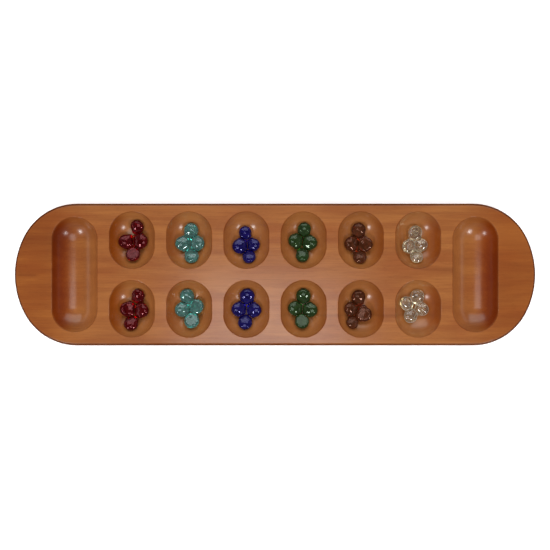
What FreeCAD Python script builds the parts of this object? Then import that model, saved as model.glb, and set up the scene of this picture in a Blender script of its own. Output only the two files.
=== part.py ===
"""Mancala board: one long hardwood board with six pits in each of two rows, a store across each end,
and four loose glass gems lying in every pit.

Frame: millimetres, +Z up, origin on the underside at the middle of the board.
+X runs along the board, +Y towards the back row.
"""
import FreeCAD, Part
import math
import os

Vector = FreeCAD.Vector

# ---- board ----
BOARD_LENGTH = 558.8
BOARD_WIDTH = 152.4
BOARD_THICKNESS = 25.4
NOSE_RADIUS = 90.0          # the outline's flatter arc at the tip of each end
CORNER_RADIUS = 64.0        # the tighter arcs that lead from the long sides into it
TOP_EDGE_ROUND = 3.0
BOTTOM_EDGE_ROUND = 2.0

# ---- hollows: every one is swept by the same ball-nosed cutter, moved along Y ----
CUTTER_RADIUS = 26.0
HOLLOW_DEPTH = 16.8
PIT_LENGTH = 61.0
STORE_LENGTH = 123.0
RIM_ROUND = 0.8
PIT_PITCH = 61.3            # from one column of pits to the next, and from the last to the store
ROW_OFFSET = 36.8           # from the long centreline to the middle of a row
COLUMNS = ("red", "teal", "blue", "green", "amber", "clear")
ROWS = {"back": ROW_OFFSET, "front": -ROW_OFFSET}

# ---- gems: rounded nuggets of glass, flat underneath and domed on top ----
GEM_THICKNESS_RATIO = 0.48  # thickness over diameter
GEM_EDGE_RATIO = 0.17       # radius of the rounded lower edge over diameter
GEM_SHOULDER_RATIO = 0.24   # radius of the shoulder above it over diameter
GEM_CLEARANCE = 0.25        # gap left between a gem and the wood under it
SMALL = 13.8
MEDIUM = 14.9
LARGE = 15.8
LARGEST = 16.6
FLAT_DOWN = False
FLAT_UP = True

# For each pit: where each gem's middle lies from the middle of the pit (x, y), its diameter,
# and which way up it came to rest.
GEMS = {
    ("red", "back"): (
        (3.0, 15.1, MEDIUM, FLAT_DOWN),
        (-8.9, -0.9, LARGE, FLAT_DOWN),
        (6.8, -0.4, LARGEST, FLAT_DOWN),
        (-1.0, -15.6, LARGE, FLAT_UP),
    ),
    ("teal", "back"): (
        (0.5, 11.5, LARGE, FLAT_DOWN),
        (-8.5, -3.0, LARGE, FLAT_DOWN),
        (7.4, -2.8, LARGE, FLAT_DOWN),
        (1.3, -16.6, LARGE, FLAT_DOWN),
    ),
    ("blue", "back"): (
        (-1.8, 9.2, SMALL, FLAT_DOWN),
        (-7.5, -5.9, LARGEST, FLAT_DOWN),
        (7.2, -4.2, SMALL, FLAT_DOWN),
        (2.4, -17.2, MEDIUM, FLAT_DOWN),
    ),
    ("green", "back"): (
        (1.3, 12.6, MEDIUM, FLAT_DOWN),
        (-8.4, 0.1, LARGE, FLAT_DOWN),
        (7.4, -2.1, LARGE, FLAT_DOWN),
        (-0.8, -15.9, MEDIUM, FLAT_DOWN),
    ),
    ("amber", "back"): (
        (-0.7, 11.8, LARGE, FLAT_DOWN),
        (-8.8, -3.4, LARGE, FLAT_DOWN),
        (6.9, -3.9, LARGE, FLAT_UP),
        (0.3, -17.5, MEDIUM, FLAT_DOWN),
    ),
    ("clear", "back"): (
        (-0.5, 9.3, MEDIUM, FLAT_UP),
        (-8.6, -6.3, MEDIUM, FLAT_UP),
        (5.8, -4.5, SMALL, FLAT_DOWN),
        (0.6, -17.3, SMALL, FLAT_DOWN),
    ),
    ("red", "front"): (
        (4.1, 13.8, MEDIUM, FLAT_DOWN),
        (-7.9, -0.6, LARGE, FLAT_UP),
        (8.2, -2.3, LARGE, FLAT_DOWN),
        (-3.1, -16.1, LARGE, FLAT_DOWN),
    ),
    ("teal", "front"): (
        (-3.7, 13.3, LARGE, FLAT_DOWN),
        (-8.9, -1.4, LARGE, FLAT_DOWN),
        (7.3, 2.1, LARGE, FLAT_UP),
        (1.6, -13.9, LARGEST, FLAT_UP),
    ),
    ("blue", "front"): (
        (0.3, 13.4, LARGEST, FLAT_DOWN),
        (-8.7, -0.9, LARGE, FLAT_DOWN),
        (7.9, -1.9, LARGE, FLAT_DOWN),
        (-1.8, -15.0, LARGE, FLAT_DOWN),
    ),
    ("green", "front"): (
        (0.3, 13.6, LARGEST, FLAT_DOWN),
        (-8.7, 0.2, LARGE, FLAT_DOWN),
        (7.8, -1.7, LARGE, FLAT_DOWN),
        (-1.4, -14.9, LARGE, FLAT_UP),
    ),
    ("amber", "front"): (
        (-1.0, 12.1, LARGE, FLAT_DOWN),
        (-9.4, -0.4, MEDIUM, FLAT_DOWN),
        (5.5, -6.3, LARGEST, FLAT_UP),
        (-7.6, -15.3, SMALL, FLAT_DOWN),
    ),
    ("clear", "front"): (
        (1.7, 13.0, MEDIUM, FLAT_DOWN),
        (-10.4, 5.6, MEDIUM, FLAT_DOWN),
        (6.9, -1.1, SMALL, FLAT_DOWN),
        (-5.3, -8.5, MEDIUM, FLAT_DOWN),
    ),
}

SAME_HEIGHT = 1e-6          # heights closer than this count as one height

# ---- worked out from the dimensions above ----
BALL_HEIGHT = BOARD_THICKNESS - HOLLOW_DEPTH + CUTTER_RADIUS  # the ball's middle stays at this height
HOLLOW_HALF_WIDTH = math.sqrt(CUTTER_RADIUS**2 - (BALL_HEIGHT - BOARD_THICKNESS) ** 2)
STORE_X = PIT_PITCH * (len(COLUMNS) + 1) / 2


def column_x(column):
    """Where the middle of a column of pits lies along the board."""
    return PIT_PITCH * (column - (len(COLUMNS) - 1) / 2)


def ball_travel(hollow_length):
    """How far the ball moves along Y to cut a hollow that is this long at the top face."""
    return hollow_length - 2 * HOLLOW_HALF_WIDTH


def arc(start, middle, end):
    """An arc through three points."""
    return Part.Arc(start, middle, end).toShape()


def line(start, end):
    """A straight edge."""
    return Part.LineSegment(start, end).toShape()


def ball_sweep(x, y, hollow_length):
    """The space that the cutter's ball passes through: a bar with two ball ends, lying along Y."""
    radius = CUTTER_RADIUS
    half = ball_travel(hollow_length) / 2
    slant = radius / math.sqrt(2)
    back_tip = Vector(0, half + radius, 0)
    back_top = Vector(0, half, radius)
    front_top = Vector(0, -half, radius)
    front_tip = Vector(0, -half - radius, 0)
    profile = Part.Wire([
        arc(front_tip, Vector(0, -half - slant, slant), front_top),
        line(front_top, back_top),
        arc(back_top, Vector(0, half + slant, slant), back_tip),
        line(back_tip, front_tip),
    ])
    bar = Part.Face(profile).revolve(Vector(0, 0, 0), Vector(0, 1, 0), 360)
    bar.translate(Vector(x, y, BALL_HEIGHT))
    return bar


def end_outline(side):
    """The outline of one end, a nose arc in two halves between two corner arcs, and where it starts."""
    half_width = BOARD_WIDTH / 2
    nose_centre = BOARD_LENGTH / 2 - NOSE_RADIUS
    between = NOSE_RADIUS - CORNER_RADIUS
    corner_y = half_width - CORNER_RADIUS
    turn = math.asin(corner_y / between)
    corner_x = nose_centre + between * math.cos(turn)

    def on_nose(angle):
        return Vector(side * (nose_centre + NOSE_RADIUS * math.cos(angle)), NOSE_RADIUS * math.sin(angle), 0)

    def on_corner(angle, half):
        x = corner_x + CORNER_RADIUS * math.cos(angle)
        return Vector(side * x, half * (corner_y + CORNER_RADIUS * math.sin(angle)), 0)

    arcs = []
    for half in (1, -1):
        middle_angle = (turn + math.pi / 2) / 2
        arcs.append(arc(on_corner(math.pi / 2, half), on_corner(middle_angle, half), on_corner(turn, half)))
        arcs.append(arc(on_nose(half * turn), on_nose(half * turn / 2), on_nose(0)))
    return arcs, corner_x


def board_blank():
    """The board before the hollows are cut, with its outer edges rounded."""
    right_arcs, right_x = end_outline(1)
    left_arcs, left_x = end_outline(-1)
    half_width = BOARD_WIDTH / 2
    sides = [line(Vector(-left_x, y, 0), Vector(right_x, y, 0)) for y in (half_width, -half_width)]
    outline = Part.Wire(Part.__sortEdges__(right_arcs + left_arcs + sides))
    blank = Part.Face(outline).extrude(Vector(0, 0, BOARD_THICKNESS))
    for height, radius in ((BOARD_THICKNESS, TOP_EDGE_ROUND), (0.0, BOTTOM_EDGE_ROUND)):
        blank = blank.makeFillet(radius, edges_at(blank, height))
    return blank


def edges_at(shape, height):
    """The edges of a shape that lie flat at one height."""
    found = []
    for edge in shape.Edges:
        box = edge.BoundBox
        if max(abs(box.ZMin - height), abs(box.ZMax - height)) < SAME_HEIGHT:
            found.append(edge)
    return found


def make_board():
    """The board with twelve pits and two stores, each with a softened rim."""
    blank = board_blank()
    outer_edge_count = len(edges_at(blank, BOARD_THICKNESS))
    hollows = [ball_sweep(side * STORE_X, 0, STORE_LENGTH) for side in (-1, 1)]
    for column in range(len(COLUMNS)):
        for row_y in ROWS.values():
            hollows.append(ball_sweep(column_x(column), row_y, PIT_LENGTH))
    board = blank.cut(hollows)
    rims = [e for e in edges_at(board, BOARD_THICKNESS) if is_rim(e)]
    assert len(rims) + outer_edge_count == len(edges_at(board, BOARD_THICKNESS))
    return board.makeFillet(RIM_ROUND, rims)


def is_rim(edge):
    """True for an edge of a hollow's mouth, which lies well inside the board's outline."""
    box = edge.BoundBox
    near_side = BOARD_WIDTH / 2 - 2 * TOP_EDGE_ROUND
    near_end = STORE_X + HOLLOW_HALF_WIDTH + TOP_EDGE_ROUND
    return max(abs(box.YMin), abs(box.YMax)) < near_side and max(abs(box.XMin), abs(box.XMax)) < near_end


def make_gem(diameter):
    """One gem standing on its flat face, with its axis along Z.

    Three arcs that run smoothly into each other are turned about the axis: the lower edge,
    the shoulder above the widest point, and the crown, whose middle lies on the axis.
    """
    radius = diameter / 2
    edge = diameter * GEM_EDGE_RATIO
    shoulder = diameter * GEM_SHOULDER_RATIO
    thickness = diameter * GEM_THICKNESS_RATIO
    rise = thickness - edge
    shoulder_x = radius - shoulder
    crown = (shoulder_x**2 + rise**2 - shoulder**2) / (2 * (rise - shoulder))
    crown_z = thickness - crown
    lean = math.atan2(edge - crown_z, shoulder_x)

    def on_arc(x, z, arc_radius, angle):
        return Vector(x + arc_radius * math.cos(angle), 0, z + arc_radius * math.sin(angle))

    middle = Vector(0, 0, 0)
    flat_end = on_arc(radius - edge, edge, edge, -math.pi / 2)
    widest = on_arc(radius - edge, edge, edge, 0)
    crown_start = on_arc(0, crown_z, crown, lean)
    top = Vector(0, 0, thickness)
    profile = Part.Wire([
        line(middle, flat_end),
        arc(flat_end, on_arc(radius - edge, edge, edge, -math.pi / 4), widest),
        arc(widest, on_arc(shoulder_x, edge, shoulder, lean / 2), crown_start),
        arc(crown_start, on_arc(0, crown_z, crown, (lean + math.pi / 2) / 2), top),
        line(top, middle),
    ])
    return Part.Face(profile).revolve(middle, Vector(0, 0, 1), 360)


def place_gem(pit_x, pit_y, dx, dy, diameter, flat_up):
    """A gem lying on the wood, square to the line from it to the middle of the cutter's ball."""
    thickness = diameter * GEM_THICKNESS_RATIO
    edge = diameter * GEM_EDGE_RATIO
    reach = CUTTER_RADIUS - GEM_CLEARANCE
    if flat_up:
        flat_distance = reach - thickness
        middle_distance = flat_distance + thickness / 2
    else:
        # the rounded lower edge comes nearest to the wood, not the flat face
        flat_distance = edge + math.sqrt((reach - edge) ** 2 - (diameter / 2 - edge) ** 2)
        middle_distance = flat_distance - thickness / 2
    half = ball_travel(PIT_LENGTH) / 2
    ball_y = min(max(dy, -half), half)
    down_x = dx / middle_distance
    down_y = (dy - ball_y) / middle_distance
    outward = Vector(down_x, down_y, -math.sqrt(1 - down_x**2 - down_y**2))
    ball_middle = Vector(pit_x, pit_y + ball_y, BALL_HEIGHT)
    domed_side = outward if flat_up else -outward
    turn = FreeCAD.Rotation(Vector(0, 0, 1), domed_side)
    gem = make_gem(diameter)
    gem.Placement = FreeCAD.Placement(ball_middle + outward * flat_distance, turn)
    return gem


def build():
    """Every node of the model, by name."""
    nodes = {"board": make_board()}
    for column, colour in enumerate(COLUMNS):
        for row, row_y in ROWS.items():
            for number, gem in enumerate(GEMS[colour, row], start=1):
                nodes[f"gem_{colour}_{row}_{number}"] = place_gem(column_x(column), row_y, *gem)
    return nodes


def write(nodes):
    """One STEP file for each node."""
    os.makedirs("parts", exist_ok=True)
    for name, shape in nodes.items():
        assert shape.isValid() and len(shape.Solids) == 1, name
        shape.exportStep(f"parts/{name}.step")


parts = build()
write(parts)
print(f"{len(parts)} nodes, board volume {parts['board'].Volume / 1000:.0f} cm3")
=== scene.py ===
import math
import random
from collections import namedtuple

import bmesh
import bpy
import numpy as np
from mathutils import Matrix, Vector


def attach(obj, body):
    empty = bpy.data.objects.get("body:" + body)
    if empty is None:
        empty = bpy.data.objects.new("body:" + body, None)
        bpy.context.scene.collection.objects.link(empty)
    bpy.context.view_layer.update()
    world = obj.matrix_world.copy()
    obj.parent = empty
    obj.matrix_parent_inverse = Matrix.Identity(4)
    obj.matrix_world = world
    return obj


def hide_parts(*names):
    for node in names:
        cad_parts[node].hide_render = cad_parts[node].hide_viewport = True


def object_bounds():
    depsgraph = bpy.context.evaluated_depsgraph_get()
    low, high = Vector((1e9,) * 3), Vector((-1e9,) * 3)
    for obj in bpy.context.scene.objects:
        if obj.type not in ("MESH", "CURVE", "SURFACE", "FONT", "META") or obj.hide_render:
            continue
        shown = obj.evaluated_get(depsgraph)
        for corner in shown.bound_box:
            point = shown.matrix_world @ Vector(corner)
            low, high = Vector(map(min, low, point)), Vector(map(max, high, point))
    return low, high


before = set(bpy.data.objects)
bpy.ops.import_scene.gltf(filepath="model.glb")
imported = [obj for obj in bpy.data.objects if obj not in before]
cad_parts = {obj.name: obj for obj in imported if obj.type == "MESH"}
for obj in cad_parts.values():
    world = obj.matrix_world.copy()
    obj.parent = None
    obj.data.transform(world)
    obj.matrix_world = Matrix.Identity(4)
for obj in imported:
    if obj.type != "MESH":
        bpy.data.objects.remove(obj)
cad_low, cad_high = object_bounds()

MM = 0.001
TURN = 2 * math.pi
BOARD_TOP = cad_high.z
TOP_MM = round(BOARD_TOP / MM, 3)

# ---- glass ----
# A colour's base, the share of light that it lets through in the middle and at the edges of what is
# seen, its absorption colour and density inside, and the tint of what its skin reflects.
Glass = namedtuple("Glass", "base clearness inside density skin")
GLASS_COLOURS = {
    "red": Glass((0.20, 0.001, 0.004), (0.82, 0.78), (0.90, 0.03, 0.04), 400.0, (0.70, 0.27, 0.29)),
    "teal": Glass((0.26, 0.56, 0.52), (0.87, 0.66), (0.32, 0.76, 0.73), 210.0, (0.80, 0.88, 0.88)),
    "blue": Glass((0.020, 0.011, 0.24), (0.80, 0.80), (0.10, 0.09, 0.78), 360.0, (0.44, 0.44, 0.74)),
    "green": Glass((0.064, 0.145, 0.034), (0.84, 0.76), (0.34, 0.62, 0.20), 330.0, (0.52, 0.62, 0.52)),
    "amber": Glass((0.23, 0.064, 0.022), (0.82, 0.82), (0.78, 0.42, 0.24), 290.0, (0.50, 0.30, 0.24)),
    "clear": Glass((0.98, 0.91, 0.71), (0.95, 0.18), (0.93, 0.86, 0.66), 75.0, (1.0, 1.0, 1.0)),
}
GLASS_IOR = 1.51
GLASS_ROUGHNESS = (0.04, 0.10)
FACING_BLEND = 0.5
FACING_RANGE = (0.45, 0.92)     # over which the clearness goes from the middle's to the edges'
SWIRLS_PER_MM, SWIRL_DETAIL, SWIRL_TWIST = (0.16, 0.22, 0.30), 3.0, 1.4
SPECKS_PER_MM, SPECK_DETAIL = (0.9, 0.9, 0.9), 2.0
WAVES_PER_MM, WAVE_DETAIL = (0.33, 0.33, 0.33), 2.0
SWIRL_RANGE = (0.32, 0.68)
SPECK_RANGE = (0.35, 0.75)
WAVE_STRENGTH = 0.28
WAVE_HEIGHT = 0.4 * MM
DEEPER = 0.62                   # the base colour in the deep swirls, over the plain one
PALER = 1.25                    # the same in the pale swirls, which also get a little added
PALER_LIFT = 0.01

# ---- the nuggets' shape ----
NUGGET_CUTS = 13            # the cuts across each face of the cube that it starts from
NUGGET_SHARE = 0.994        # the nugget's size over the plain gem's
EDGE_RATIO = 0.17           # the rounding of its lower edge, over its diameter
SHOULDER_RATIO = 0.24       # the rounding between its side and its dome, over its diameter
HOLLOW_UNDER = 0.018        # how far its flat face is sunk in the middle, over its diameter
ARC_POINTS = 40
FLAT_POINTS = 30
LOBE_COUNTS = (2, 3, 4, 5)  # the waves round its outline
LOBE_SIZES = (0.4, 1.0)     # how large each may be, before it is divided by its count
LOBE_DEPTH = 0.020          # how far its outline dips inwards at most, over its radius
LOBE_DEPTH_SHARES = (0.6, 1.0)
LOW_SIDES = (0.0, 0.10)     # how much lower one side of it may be, over its height
SWELL = 0.26                # how far it may bulge into the room between its neighbours, over its radius
NUGGET_GAP = 0.15 * MM      # the room left between two nuggets
RANDOM_SEED = 17
MIN_TWICE_AREA = 1e-14      # in square metres: a smaller triangle says nothing of where a gem faces
FLAT_COSINE = 0.999         # a triangle turned no further than this from the axis counts as flat
WAY_COUNT = 73              # the ways round an outline at which it is measured, the last being the first
MIN_LEAN = 0.05             # the least cosine of a way that counts as towards a neighbour
CROWDING_POWER = 4          # how narrow the ways are in which a neighbour crowds a gem
NEARNESS_RANGE = (0.55, 0.85)   # two gems' reaches over the distance between them: far apart, close
CROWDING_RANGE = (0.30, 0.85)   # the crowding over which a gem goes from plain to its fullest bulge
LIFTED_RANGE = (0.10, 0.45)     # the heights over which the bulge sets in, over the thickness
FAR_OUT_RANGE = (0.2, 0.9)      # the same for the distances from the middle, over the outline's

# ---- the wood's grain ----
PITH_MM = (-26.0, -112.0)   # where the middle of the log lay, in Y and Z
RING_PITCH_MM = 3.4
SWAY_MM = 15.0              # how far the rings wander along the board
STREAK_SWAY_MM = 7.0        # and the streaks
RING_SHARPNESS = 3.0        # how narrow the dark part of a ring is
# The length and width in millimetres of one blob of each noise, and how much finer detail it has.
SWAY_NOISE = (260, 75, 2.0)
WANDER_NOISE = (90, 7, 1.0)
BAND_NOISE = (95, 13, 3.0)
CLOUD_NOISE = (70, 32, 2.0)
FIBRE_NOISE = (34, 0.95, 3.0)
PORE_NOISE = (5.5, 0.34, 1.0)
RIPPLE_NOISE = (24, 6, 1.0)
FIBRE_HARSHNESS = 0.6       # how strong that detail is in the fibres
# The part of each noise's range that is used.
BAND_RANGE = (0.32, 0.70)
RED_RANGE = (0.45, 0.75)
RING_RANGE = (0.30, 0.66)
FIBRE_RANGE = (0.30, 0.72)
PORE_RANGE = (0.60, 0.74)
# Colours, and how strongly each is laid over the ones before it.
DARK_BAND_COLOUR = (0.225, 0.070, 0.0170)
LIGHT_BAND_COLOUR = (0.289, 0.104, 0.0260)
RED_CLOUD_COLOUR, RED_CLOUD_SHARE = (0.231, 0.059, 0.0135), 0.40
LATE_WOOD_COLOUR, LATE_WOOD_SHARES = (0.135, 0.033, 0.0065), (0.03, 0.15)
FIBRE_COLOUR, FIBRE_SHARE = (0.115, 0.029, 0.0060), 0.26
PORE_COLOUR, PORE_SHARE = (0.072, 0.017, 0.0045), 0.30
DARK_STREAK_COLOUR = (0.092, 0.020, 0.005)
PALE_STREAK_COLOUR = (0.330, 0.125, 0.034)
# Streaks along the grain: start and end in X, middle in Y and width, all in millimetres, and how
# strongly each shows.
DARK_STREAKS = (
    (-14.0, 196.0, -39.4, 1.5, 0.32), (150.0, 205.0, 9.0, 3.2, 0.30),
    (-278.0, -252.0, 2.2, 1.3, 0.34), (-60.0, 30.0, 58.0, 1.1, 0.22),
    (60.0, 215.0, 70.0, 1.6, 0.20), (-215.0, -120.0, 63.0, 1.2, 0.16),
    (-290.0, -215.0, 42.0, 15.0, 0.30))
PALE_STREAKS = ((-250.0, -12.0, -30.0, 5.0, 0.35), (190.0, 292.0, 46.0, 16.0, 0.42))
STREAK_FADE = 0.25          # the part of its length over which each end of a streak fades

# ---- the parts of the board whose stain, painted shade, painted light or lacquer differs ----
FIELD_HALF_MM = (240.0, 68.0)   # half the length and width of the part that holds the hollows
FIELD_SQUARENESS = 8.0
BORDER_RANGE = (0.95, 1.25)     # from inside that part, whose outline is at 1, to the board's border
ABOVE_BASE_MM = (3.0, 8.0)      # the heights over which the painted shade, painted light and thinner lacquer set in, so the underside has none
BELOW_TOP_MM = (TOP_MM - 1.9, TOP_MM - 0.4)     # the heights from the hollows' walls to the top face
RIM_MM = (TOP_MM - 1.1, TOP_MM - 0.7)           # the heights over which the rims set in
INWARD_RANGE = (0.06, 0.68)     # how far a wall is turned towards the board's middle
NOT_TOP = (0.955, 0.999)        # the normal's Z, from the edge's rounding to the top face
NOT_UNDER = (-0.1, 0.06)        # and from the faces that lean under to the side and the rounding
UNDER_SHARE = 0.35              # how much of the edge's painted shade the faces that lean under have
RIM_FLATTEST = (0.90, 0.995)    # the normal's Z at a rim's upper end
RIM_STEEPEST = (0.36, 0.5)      # and at its lower end
END_GRAIN_RANGE = (0.15, 0.90)  # the normal's X, from side grain to end grain
FAR_OUT_MM = (195.0, 252.0)     # how far from the board's middle the darker ends set in
# Painted light: a paler colour laid over the hollows' wood.
HOLLOW_PAINTED_LIGHT_COLOUR, HOLLOW_PAINTED_LIGHT_SHARE = (0.40, 0.175, 0.055), 0.22
HOLLOW_PAINTED_LIGHT_END_MM = (196.0, 212.0)    # where the painted light in the hollows ends, before the stores' outer walls
# What the colour is multiplied by there: more stain on end grain, darker near the ends, and painted shade on
# the walls that face the board's middle, at the board's edge and at the rims.
END_GRAIN_TINT = (0.80, 0.64, 0.50)
FAR_OUT_TINT = (0.86, 0.72, 0.48)
FACES_IN_PAINTED_SHADE = (0.80, 0.50, 0.12)
EDGE_PAINTED_SHADE = (0.42, 0.36, 0.34)
RIM_PAINTED_SHADE = (0.80, 0.74, 0.70)
# How much of the lacquer is missing there.
FACES_IN_BARE, HOLLOW_BARE, RIM_BARE = 0.5, 0.30, 0.85

# ---- the wood's skin ----
WOOD_IOR = 1.48
WOOD_SPECULAR = 0.04
COAT_WEIGHT = 0.85
COAT_IOR = 1.5
COAT_ROUGHNESS = 0.23
ROUGH_RANGE, FIBRE_ROUGHNESS = (0.3, 0.7), (0.50, 0.40)
PORE_ROUGHNESS = 0.14
EDGE_ROUGHNESS = 0.45
FIBRE_HEIGHT = 0.5          # over a pore's depth
GRAIN_STRENGTH, GRAIN_HEIGHT = 0.30, 0.04 * MM
RIPPLE_STRENGTH, RIPPLE_HEIGHT = 0.35, 0.1 * MM

# ---- floor, light and camera ----
FLOOR_HALF = 5.0
FLOOR_DROP = 0.2 * MM       # how far the floor lies below the board
FLOOR_GLOW = 0.22
FLOOR_ROUGHNESS = 0.9
FLOOR_SPECULAR = 0.1
FLOOR_SHADES = ((0.94, 0.94, 0.94), (0.96, 0.96, 0.96))
MOTTLES_PER_MM, MOTTLE_DETAIL = (0.01, 0.01, 0.01), 3.0
WHITE = (1.0, 1.0, 1.0, 1.0)
LIGHTS = (
    # name, place, what it is turned towards, width, depth and power
    ("overhead", (-0.02, -0.17, 0.80), (0.0, 0.0, BOARD_TOP), 0.40, 0.34, 1.9),
    ("lamp_left", (-0.68, -0.65, 0.80), (-0.05, 0.0, BOARD_TOP), 0.24, 0.24, 6.2),
    ("lamp_right", (0.68, -0.65, 0.80), (0.05, 0.0, BOARD_TOP), 0.24, 0.24, 6.2),
    ("back_window", (0.0, 0.85, 0.92), (0.0, 0.0, BOARD_TOP), 1.80, 0.90, 15.0),
    ("side_left", (-0.44, 0.0, 0.10), (0.0, 0.0, 0.09), 0.50, 0.14, 0.25),
    ("side_right", (0.44, 0.0, 0.10), (0.0, 0.0, 0.09), 0.50, 0.14, 0.25),
)
SKY_COLOUR = (1.0, 0.985, 0.97, 1.0)
SKY_HEIGHTS = (0.15, 0.75)      # the height of a direction, from 0 at the horizon to 1 overhead
SKY_STRENGTHS = (0.50, 0.11)
SENSOR_MM = 36.0
CAMERA_Y = -0.5 * MM        # the photo's middle lies this far in front of the board's
CAMERA_RISE = 0.650         # above the board's top face
VIEW_WIDTH = 0.5885         # how much of the top face's plane the picture spans
CLIP_START, CLIP_END = 0.01, 50.0


# ---------------------------------------------------------------- node materials

def put(tree, kind, inputs=None, **settings):
    """A node with its settings. An input that is a socket is linked, and anything else is a value."""
    made = tree.nodes.new(kind)
    for name, value in settings.items():
        setattr(made, name, value)
    for name, value in (inputs or {}).items():
        if isinstance(value, bpy.types.NodeSocket):
            tree.links.new(value, made.inputs[name])
        else:
            made.inputs[name].default_value = value
    return made


def maths(tree, operation, a, b=0.0, clamp=False):
    """The result of one sum on numbers."""
    return put(tree, "ShaderNodeMath", {0: a, 1: b}, operation=operation, use_clamp=clamp).outputs[0]


def product(tree, first, *others):
    """Numbers multiplied together, from left to right."""
    for other in others:
        first = maths(tree, "MULTIPLY", first, other)
    return first


def scaled(tree, vector, by):
    """A vector times another, part by part."""
    return put(tree, "ShaderNodeVectorMath", {0: vector, 1: by}, operation="MULTIPLY").outputs[0]


def parts_of(tree, vector):
    """A vector's X, Y and Z."""
    return put(tree, "ShaderNodeSeparateXYZ", {0: vector}).outputs


def noise(tree, vector, detail, roughness=0.5, distortion=0.0):
    """A noise's outputs, with about one soft blob for each unit of the vector."""
    inputs = {"Vector": vector, "Scale": 1.0, "Detail": detail, "Roughness": roughness,
              "Distortion": distortion}
    return put(tree, "ShaderNodeTexNoise", inputs).outputs


def grain_noise(tree, place, kind, **settings):
    """A noise's outputs, with blobs drawn out along the grain."""
    length, width, detail = kind
    return noise(tree, scaled(tree, place, (1 / length, 1 / width, 1 / width)), detail, **settings)


def spread(tree, value, low, high, to_low=0.0, to_high=1.0):
    """A number moved from one range to another, smoothly, and held at its ends."""
    inputs = {"Value": value, "From Min": low, "From Max": high, "To Min": to_low, "To Max": to_high}
    made = put(tree, "ShaderNodeMapRange", inputs, interpolation_type="SMOOTHSTEP")
    return made.outputs["Result"]


def tinted(tree, share, below, above, blend="MIX"):
    """A colour with some of another laid over it, or multiplied by it."""
    made = put(tree, "ShaderNodeMix", {"Factor": share}, data_type="RGBA", blend_type=blend)
    for name, value in (("A", below), ("B", above)):
        socket = [s for s in made.inputs if s.name == name and s.type == "RGBA"][0]
        if isinstance(value, bpy.types.NodeSocket):
            tree.links.new(value, socket)
        else:
            socket.default_value = (*value, 1.0)
    return [s for s in made.outputs if s.type == "RGBA"][0]


def bumpy(tree, height, strength, distance):
    """The normal of a surface with fine relief."""
    inputs = {"Strength": strength, "Distance": distance, "Height": height}
    return put(tree, "ShaderNodeBump", inputs).outputs[0]


def place_mm(tree):
    """Where a point lies in its object, in millimetres."""
    return scaled(tree, put(tree, "ShaderNodeTexCoord").outputs["Object"], (1 / MM,) * 3)


def new_material(name):
    """A material with only its shader and its output."""
    made = bpy.data.materials.new(name)
    made.use_nodes = True
    tree = made.node_tree
    tree.nodes.clear()
    shader = tree.nodes.new("ShaderNodeBsdfPrincipled")
    output = tree.nodes.new("ShaderNodeOutputMaterial")
    tree.links.new(shader.outputs[0], output.inputs["Surface"])
    return made, tree, shader, output


def finish_shader(tree, shader, linked, plain):
    """The shader's sockets, some linked to nodes and some set to values."""
    for name, value in linked.items():
        tree.links.new(value, shader.inputs[name])
    for name, value in plain.items():
        shader.inputs[name].default_value = value


# ---------------------------------------------------------------- wood

def late_wood(tree, place, y, z, sway):
    """The dark part of the growth rings round the log's middle, from 0 to 1."""
    def from_middle(value, part, middle):
        """How far a point is from the middle in Y or Z, swaying along the board."""
        off = product(tree, maths(tree, "SUBTRACT", part, 0.5), SWAY_MM)
        return maths(tree, "ADD", maths(tree, "SUBTRACT", value, middle), off)

    from_pith = put(tree, "ShaderNodeCombineXYZ", {
        "Y": from_middle(y, sway[0], PITH_MM[0]), "Z": from_middle(z, sway[1], PITH_MM[1])})
    radius = put(tree, "ShaderNodeVectorMath", {0: from_pith.outputs[0]}, operation="LENGTH")
    count = maths(tree, "DIVIDE", radius.outputs["Value"], RING_PITCH_MM)
    wander = grain_noise(tree, place, WANDER_NOISE)["Fac"]
    half_ring = maths(tree, "PINGPONG", maths(tree, "ADD", count, wander), 0.5)
    return maths(tree, "POWER", product(tree, half_ring, 2.0), RING_SHARPNESS)


def grain_colour(tree, place, rings, fibres, pore):
    """The wood's colour from its bands, red clouds, growth rings, fibres and pores."""
    bands = grain_noise(tree, place, BAND_NOISE)["Fac"]
    clouds = grain_noise(tree, place, CLOUD_NOISE)["Fac"]
    colour = tinted(tree, spread(tree, bands, *BAND_RANGE), DARK_BAND_COLOUR, LIGHT_BAND_COLOUR)
    redness = product(tree, spread(tree, clouds, *RED_RANGE), RED_CLOUD_SHARE)
    colour = tinted(tree, redness, colour, RED_CLOUD_COLOUR)
    ring_share = product(tree, rings, spread(tree, clouds, *RING_RANGE, *LATE_WOOD_SHARES))
    colour = tinted(tree, ring_share, colour, LATE_WOOD_COLOUR)
    colour = tinted(tree, spread(tree, fibres, *FIBRE_RANGE, FIBRE_SHARE, 0.0), colour, FIBRE_COLOUR)
    return tinted(tree, product(tree, pore, PORE_SHARE), colour, PORE_COLOUR)


def streaked(tree, colour, x, y, streaks, streak_colour):
    """A colour with mineral streaks over it, which fade to their sides and ends."""
    for start, end, middle, width, strength in streaks:
        away = maths(tree, "DIVIDE", maths(tree, "SUBTRACT", y, middle), width)
        across = maths(tree, "POWER", math.e, product(tree, away, away, -1.0))
        fade = STREAK_FADE * (end - start)
        along = product(tree, spread(tree, x, start, start + fade),
                        spread(tree, x, end - fade, end, 1.0, 0.0))
        share = product(tree, product(tree, across, along), strength)
        colour = tinted(tree, share, colour, streak_colour)
    return colour


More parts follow.
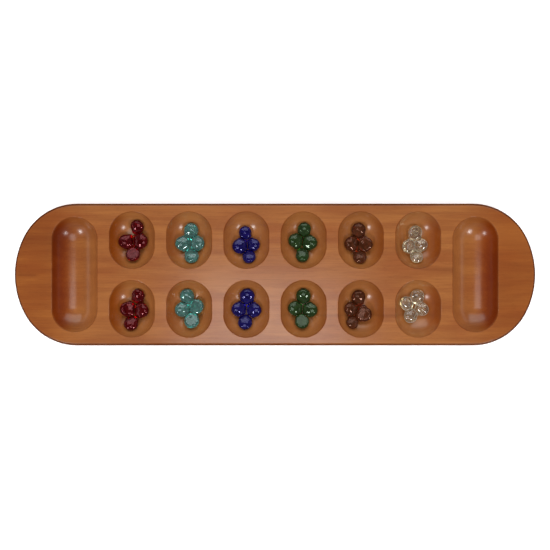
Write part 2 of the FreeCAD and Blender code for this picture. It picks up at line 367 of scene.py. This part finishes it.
def board_places(tree, x, y, z, facing):
    """Where four parts of the board are, each as a share from 0 to 1: the hollows, their walls that
    face the board's middle, their rims, and the board's edge above its base."""
    powers = [maths(tree, "POWER", maths(tree, "DIVIDE", maths(tree, "ABSOLUTE", way), half),
                    FIELD_SQUARENESS) for way, half in zip((x, y), FIELD_HALF_MM)]
    border = spread(tree, maths(tree, "ADD", *powers), *BORDER_RANGE)
    field = maths(tree, "SUBTRACT", 1.0, border)
    above_base = spread(tree, z, *ABOVE_BASE_MM)
    hollow = product(tree, field, above_base, spread(tree, z, *BELOW_TOP_MM, 1.0, 0.0))

    inward = product(tree, facing["X"], x, -1 / FIELD_HALF_MM[0])
    faces_in = product(tree, hollow, spread(tree, inward, *INWARD_RANGE))

    upward = facing["Z"]
    leaning = product(tree, spread(tree, upward, *RIM_FLATTEST, 1.0, 0.0),
                      spread(tree, upward, *RIM_STEEPEST))
    rim = product(tree, product(tree, field, spread(tree, z, *RIM_MM)), leaning)

    turned = product(tree, spread(tree, upward, *NOT_TOP, 1.0, 0.0),
                     spread(tree, upward, *NOT_UNDER, UNDER_SHARE, 1.0))
    edge = product(tree, product(tree, border, above_base), turned)
    return hollow, faces_in, rim, edge


def make_wood():
    """Stained hardwood with its grain along X, cut through in depth, under satin lacquer, with painted shade
    and painted light in places.
    """
    made, tree, shader, _ = new_material("stained_hardwood")
    place = place_mm(tree)
    x, y, z = parts_of(tree, place)
    facing = parts_of(tree, put(tree, "ShaderNodeTexCoord").outputs["Normal"])
    sway = parts_of(tree, grain_noise(tree, place, SWAY_NOISE)["Color"])
    fibres = grain_noise(tree, place, FIBRE_NOISE, roughness=FIBRE_HARSHNESS)["Fac"]
    pore = spread(tree, grain_noise(tree, place, PORE_NOISE)["Fac"], *PORE_RANGE)
    hollow, faces_in, rim, edge = board_places(tree, x, y, z, facing)

    colour = grain_colour(tree, place, late_wood(tree, place, y, z, sway), fibres, pore)
    wavy_y = maths(tree, "ADD", y, product(tree, sway[0], STREAK_SWAY_MM))
    colour = streaked(tree, colour, x, wavy_y, DARK_STREAKS, DARK_STREAK_COLOUR)
    colour = streaked(tree, colour, x, wavy_y, PALE_STREAKS, PALE_STREAK_COLOUR)

    # End grain takes more stain, and the wood is darker near the board's ends. The hollows get painted
    # light, and the walls that face the board's middle, the rims and the board's edge get painted shade.
    from_middle = maths(tree, "ABSOLUTE", x)
    end_grain = spread(tree, maths(tree, "ABSOLUTE", facing["X"]), *END_GRAIN_RANGE)
    colour = tinted(tree, end_grain, colour, END_GRAIN_TINT, blend="MULTIPLY")
    far_out = spread(tree, from_middle, *FAR_OUT_MM)
    colour = tinted(tree, far_out, colour, FAR_OUT_TINT, blend="MULTIPLY")
    # Painted light in the hollows, up to the stores.
    pale = product(tree, hollow, spread(tree, from_middle, *HOLLOW_PAINTED_LIGHT_END_MM, HOLLOW_PAINTED_LIGHT_SHARE, 0.0))
    colour = tinted(tree, pale, colour, HOLLOW_PAINTED_LIGHT_COLOUR)
    # Painted shade on the walls that face the board's middle, at the board's edge and at the rims.
    for share, tint in ((faces_in, FACES_IN_PAINTED_SHADE), (edge, EDGE_PAINTED_SHADE), (rim, RIM_PAINTED_SHADE)):
        colour = tinted(tree, share, colour, tint, blend="MULTIPLY")

    # The lacquer is thinner in the hollows, at their rims and at the board's edge.
    worn = maths(tree, "MAXIMUM", product(tree, faces_in, FACES_IN_BARE), product(tree, hollow, HOLLOW_BARE))
    bare = maths(tree, "MAXIMUM", edge, product(tree, rim, RIM_BARE))
    bare = maths(tree, "MAXIMUM", bare, worn)

    rough = spread(tree, fibres, *ROUGH_RANGE, *FIBRE_ROUGHNESS)
    rough = maths(tree, "ADD", rough, product(tree, pore, PORE_ROUGHNESS))
    rough = maths(tree, "ADD", rough, product(tree, edge, EDGE_ROUGHNESS), clamp=True)
    height = maths(tree, "SUBTRACT", product(tree, fibres, FIBRE_HEIGHT), pore)
    ripple = grain_noise(tree, place, RIPPLE_NOISE)["Fac"]
    linked = {
        "Base Color": colour,
        "Roughness": rough,
        "Normal": bumpy(tree, height, GRAIN_STRENGTH, GRAIN_HEIGHT),
        "Coat Weight": spread(tree, bare, 0.0, 1.0, COAT_WEIGHT, 0.0),
        "Coat Normal": bumpy(tree, ripple, RIPPLE_STRENGTH, RIPPLE_HEIGHT),
    }
    finish_shader(tree, shader, linked, {
        "IOR": WOOD_IOR, "Specular IOR Level": WOOD_SPECULAR, "Coat Roughness": COAT_ROUGHNESS,
        "Coat IOR": COAT_IOR})
    return made


# ---------------------------------------------------------------- glass

def make_glass(colour):
    """Pressed glass with faint swirls of its colour and a wavy fire-polished skin."""
    look = GLASS_COLOURS[colour]
    made, tree, shader, output = new_material("glass_" + colour)
    place = place_mm(tree)
    swirls = noise(tree, scaled(tree, place, SWIRLS_PER_MM), SWIRL_DETAIL, distortion=SWIRL_TWIST)["Fac"]
    deeper = tuple(c * DEEPER for c in look.base)
    paler = tuple(min(1.0, c * PALER + PALER_LIFT) for c in look.base)
    specks = noise(tree, scaled(tree, place, SPECKS_PER_MM), SPECK_DETAIL)["Fac"]
    waves = noise(tree, scaled(tree, place, WAVES_PER_MM), WAVE_DETAIL)["Fac"]
    turned = put(tree, "ShaderNodeLayerWeight", {"Blend": FACING_BLEND}).outputs["Facing"]
    linked = {
        "Base Color": tinted(tree, spread(tree, swirls, *SWIRL_RANGE), deeper, paler),
        "Roughness": spread(tree, specks, *SPECK_RANGE, *GLASS_ROUGHNESS),
        "Normal": bumpy(tree, waves, WAVE_STRENGTH, WAVE_HEIGHT),
        "Transmission Weight": spread(tree, turned, *FACING_RANGE, *look.clearness),
    }
    finish_shader(tree, shader, linked, {"IOR": GLASS_IOR, "Specular Tint": (*look.skin, 1.0)})
    absorb = put(tree, "ShaderNodeVolumeAbsorption", {"Color": (*look.inside, 1.0), "Density": look.density})
    tree.links.new(absorb.outputs[0], output.inputs["Volume"])
    return made


# ---------------------------------------------------------------- gems

def read_gem(node):
    """The middle of a plain gem's flat face, its axis towards the dome, its radius and its thickness."""
    mesh = node.data
    mesh.calc_loop_triangles()
    points = np.array([v.co for v in mesh.vertices], float)
    corners = points[np.array([t.vertices for t in mesh.loop_triangles])]
    cross = np.cross(corners[:, 1] - corners[:, 0], corners[:, 2] - corners[:, 0])
    twice_area = np.linalg.norm(cross, axis=1)
    kept = twice_area > MIN_TWICE_AREA
    corners, cross, twice_area = corners[kept], cross[kept], twice_area[kept]
    centres = corners.mean(1)
    middle = (twice_area[:, None] * centres).sum(0) / twice_area.sum()
    offsets = centres - middle
    axis = np.linalg.eigh((offsets * twice_area[:, None]).T @ offsets)[1][:, 0]
    facing = (cross / twice_area[:, None]) @ axis
    flat_ahead = twice_area[facing > FLAT_COSINE].sum() > twice_area[facing < -FLAT_COSINE].sum()
    if flat_ahead:
        axis = -axis
    along = (points - middle) @ axis
    radius = np.linalg.norm(points - middle - along[:, None] * axis, axis=1).max()
    return middle + axis * along.min(), axis, radius, along.max() - along.min()


def nugget_profile(radius, thickness):
    """Points down the side of a nugget, from the top of its dome to the middle of its flat face, as
    (how far along, distance from the axis, height)."""
    edge = 2 * radius * EDGE_RATIO
    shoulder = 2 * radius * SHOULDER_RATIO
    rise = thickness - edge
    shoulder_x = radius - shoulder
    crown = (shoulder_x**2 + rise**2 - shoulder**2) / (2 * (rise - shoulder))
    lean = math.atan2(edge - (thickness - crown), shoulder_x)
    points = []
    for angle in np.linspace(math.pi / 2, lean, ARC_POINTS):
        points.append((crown * math.cos(angle), thickness - crown + crown * math.sin(angle)))
    for angle in np.linspace(lean, 0, ARC_POINTS)[1:]:
        points.append((shoulder_x + shoulder * math.cos(angle), edge + shoulder * math.sin(angle)))
    flat = radius - edge
    for angle in np.linspace(0, -math.pi / 2, ARC_POINTS)[1:]:
        points.append((flat + edge * math.cos(angle), edge + edge * math.sin(angle)))
    for share in np.linspace(1, 0, FLAT_POINTS)[1:]:
        sunk = 2 * radius * HOLLOW_UNDER * (1 - share**2) ** 2
        points.append((flat * share, sunk))
    points = np.array(points)
    steps = np.linalg.norm(np.diff(points, axis=0), axis=1)
    along = np.concatenate([[0], np.cumsum(steps)])
    return along / along[-1], points[:, 0], points[:, 1]


def round_cube(cuts):
    """A ball of even four-sided faces, made from a cube that reaches from -1 to 1: its points, which
    are 1 from its middle, and its faces."""
    made = bmesh.new()
    bmesh.ops.create_cube(made, size=2.0)
    bmesh.ops.subdivide_edges(made, edges=made.edges[:], cuts=cuts, use_grid_fill=True)
    points = np.tan(np.array([vertex.co for vertex in made.verts]) * math.pi / 4)
    points /= np.linalg.norm(points, axis=1)[:, None]
    faces = [[v.index for v in face.verts] for face in made.faces]
    made.free()
    return points, faces


WAYS = np.linspace(-math.pi, math.pi, WAY_COUNT)
WAY_VECTORS = np.stack([np.cos(WAYS), np.sin(WAYS)], 1)


def smooth(value, low, high):
    """0 below a range and 1 above it, with a soft step between."""
    share = np.clip((value - low) / (high - low), 0, 1)
    return share * share * (3 - 2 * share)


def wave(angle):
    """A cosine that runs from 0 to 1."""
    return 0.5 + 0.5 * np.cos(angle)


def seen_from_above(node):
    """A gem's outline seen from above: its middle, and how far it reaches each way."""
    points = np.array([v.co[:2] for v in node.data.vertices], float)
    middle = (points.min(0) + points.max(0)) / 2
    return middle, ((points - middle) @ WAY_VECTORS.T).max(0)


def swelling(outline, neighbours):
    """How much further than its plain outline a gem bulges each way, into the room its neighbours leave."""
    middle, reach = outline
    limit = (1 + SWELL) * reach
    crowding = np.zeros(len(WAYS))
    for other_middle, other_reach in neighbours:
        apart = np.linalg.norm(other_middle - middle)
        way = math.atan2(*(other_middle - middle)[::-1])
        back = way - math.copysign(math.pi, way)
        near, far = np.interp(way, WAYS, reach), np.interp(back, WAYS, other_reach)
        border = near + (apart - near - far - NUGGET_GAP) / 2
        lean = np.cos(WAYS - way)
        nearest = np.minimum(limit, border / np.maximum(lean, MIN_LEAN))
        limit = np.where(lean > MIN_LEAN, nearest, limit)
        crowding += np.maximum(lean, 0) ** CROWDING_POWER * smooth((near + far) / apart, *NEARNESS_RANGE)
    room = limit / reach - 1
    return np.where(room > 0, room * smooth(crowding, *CROWDING_RANGE), room)


def uneven_points(node, ball_points, chance):
    """The points of an uneven nugget in a plain gem's space, and its thickness."""
    base, axis, radius, thickness = read_gem(node)
    middle = base + axis * thickness / 2
    radius, thickness = radius * NUGGET_SHARE, thickness * NUGGET_SHARE
    base = middle - axis * thickness / 2
    along, out, up = nugget_profile(radius, thickness)
    lobes = [(k, chance.uniform(*LOBE_SIZES) / k, chance.uniform(0, TURN)) for k in LOBE_COUNTS]
    total = sum(size for _, size, _ in lobes)
    depth = LOBE_DEPTH * chance.uniform(*LOBE_DEPTH_SHARES)
    low_way, low_side = chance.uniform(0, TURN), chance.uniform(*LOW_SIDES)

    share = np.arccos(np.clip(ball_points[:, 2], -1, 1)) / math.pi
    turn = np.arctan2(ball_points[:, 1], ball_points[:, 0])
    dip = sum(size * wave(k * turn + start) for k, size, start in lobes) / total
    reach = np.interp(share, along, out) * (1 - depth * dip)
    lowering = low_side * wave(turn - low_way) * reach / radius
    height = np.interp(share, along, up) * (1 - lowering)
    side = np.array(Vector(axis).orthogonal().normalized())
    across = np.cross(axis, side)
    points = (base + np.outer(reach * np.cos(turn), side) + np.outer(reach * np.sin(turn), across)
              + np.outer(height, axis))
    return points, thickness


def bulged(points, thickness, outline, neighbours):
    """A nugget's points, moved sideways into the room between it and its neighbours."""
    middle, reach = outline
    away = points[:, :2] - middle
    way = np.arctan2(away[:, 1], away[:, 0])
    far_out = np.linalg.norm(away, axis=1) / np.interp(way, WAYS, reach)
    lifted = smooth((points[:, 2] - points[:, 2].min()) / thickness, *LIFTED_RANGE)
    bulge = np.interp(way, WAYS, swelling(outline, neighbours))
    grown = bulge * lifted * smooth(far_out, *FAR_OUT_RANGE)
    points[:, :2] += away * grown[:, None]
    return points


def make_nugget(name, node, outline, neighbours, ball, chance):
    """An uneven glass nugget, in the plain gem's space and the room between it and its neighbours."""
    ball_points, ball_faces = ball
    points, thickness = uneven_points(node, ball_points, chance)
    points = bulged(points, thickness, outline, neighbours)
    mesh = bpy.data.meshes.new(name)
    mesh.from_pydata(points.tolist(), [], ball_faces)
    mesh.validate()
    mesh.update()
    mesh.shade_smooth()
    made = bpy.data.objects.new(name, mesh)
    bpy.context.scene.collection.objects.link(made)
    return made


# ---------------------------------------------------------------- the board and the gems

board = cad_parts["board"]
board.data.materials.clear()
board.data.materials.append(make_wood())

glass = {colour: make_glass(colour) for colour in GLASS_COLOURS}
ball = round_cube(NUGGET_CUTS)
chance = random.Random(RANDOM_SEED)
gem_names = sorted(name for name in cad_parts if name.startswith("gem_"))
outlines = {name: seen_from_above(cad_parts[name]) for name in gem_names}
for node_name in gem_names:
    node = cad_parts[node_name]
    colour = node_name.split("_")[1]
    pit_name = node_name.rsplit("_", 1)[0]
    neighbours = [outlines[name] for name in gem_names if name.startswith(pit_name) and name != node_name]
    nugget_name = node_name.replace("gem_", "nugget_")
    nugget = make_nugget(nugget_name, node, outlines[node_name], neighbours, ball, chance)
    nugget.data.materials.append(glass[colour])
    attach(nugget, node_name)
    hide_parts(node_name)


# ---------------------------------------------------------------- floor, light and camera

def make_floor():
    """A wide plain pale floor just under the board."""
    mesh = bpy.data.meshes.new("floor")
    corners = [(-1, -1), (1, -1), (1, 1), (-1, 1)]
    mesh.from_pydata([(FLOOR_HALF * x, FLOOR_HALF * y, 0) for x, y in corners], [], [(0, 1, 2, 3)])
    made = bpy.data.objects.new("floor", mesh)
    made.location.z = -FLOOR_DROP
    bpy.context.scene.collection.objects.link(made)
    paint, tree, shader, _ = new_material("pale_floor")
    mottle = noise(tree, scaled(tree, place_mm(tree), MOTTLES_PER_MM), MOTTLE_DETAIL)["Fac"]
    finish_shader(tree, shader, {"Base Color": tinted(tree, mottle, *FLOOR_SHADES)}, {
        "Roughness": FLOOR_ROUGHNESS, "Specular IOR Level": FLOOR_SPECULAR,
        "Emission Color": WHITE, "Emission Strength": FLOOR_GLOW})
    mesh.materials.append(paint)


def add_light(name, place, target, width, depth, power):
    """A rectangular soft light at a place, turned towards a target."""
    data = bpy.data.lights.new(name, "AREA")
    data.shape = "RECTANGLE"
    data.size, data.size_y = width, depth
    data.energy = power
    made = bpy.data.objects.new(name, data)
    made.location = place
    made.rotation_euler = (Vector(target) - Vector(place)).to_track_quat("-Z", "Y").to_euler()
    made.visible_camera = False
    bpy.context.scene.collection.objects.link(made)


def make_sky():
    """A pale world, brighter near the horizon than overhead."""
    world = bpy.data.worlds.new("studio")
    world.use_nodes = True
    tree = world.node_tree
    tree.nodes.clear()
    direction = parts_of(tree, put(tree, "ShaderNodeTexCoord").outputs["Generated"])
    glow = spread(tree, direction["Z"], *SKY_HEIGHTS, *SKY_STRENGTHS)
    background = put(tree, "ShaderNodeBackground", {"Color": SKY_COLOUR, "Strength": glow})
    output = put(tree, "ShaderNodeOutputWorld")
    tree.links.new(background.outputs[0], output.inputs["Surface"])
    bpy.context.scene.world = world


def add_camera():
    """A camera straight above the board, as the photo's was."""
    data = bpy.data.cameras.new("camera")
    data.sensor_width = SENSOR_MM
    data.lens = SENSOR_MM * CAMERA_RISE / VIEW_WIDTH
    data.clip_start, data.clip_end = CLIP_START, CLIP_END
    made = bpy.data.objects.new("camera", data)
    made.location = (0.0, CAMERA_Y, BOARD_TOP + CAMERA_RISE)
    bpy.context.scene.collection.objects.link(made)
    bpy.context.scene.camera = made


make_floor()
for light in LIGHTS:
    add_light(*light)
make_sky()
add_camera()
bpy.context.scene.view_settings.view_transform = "Standard"
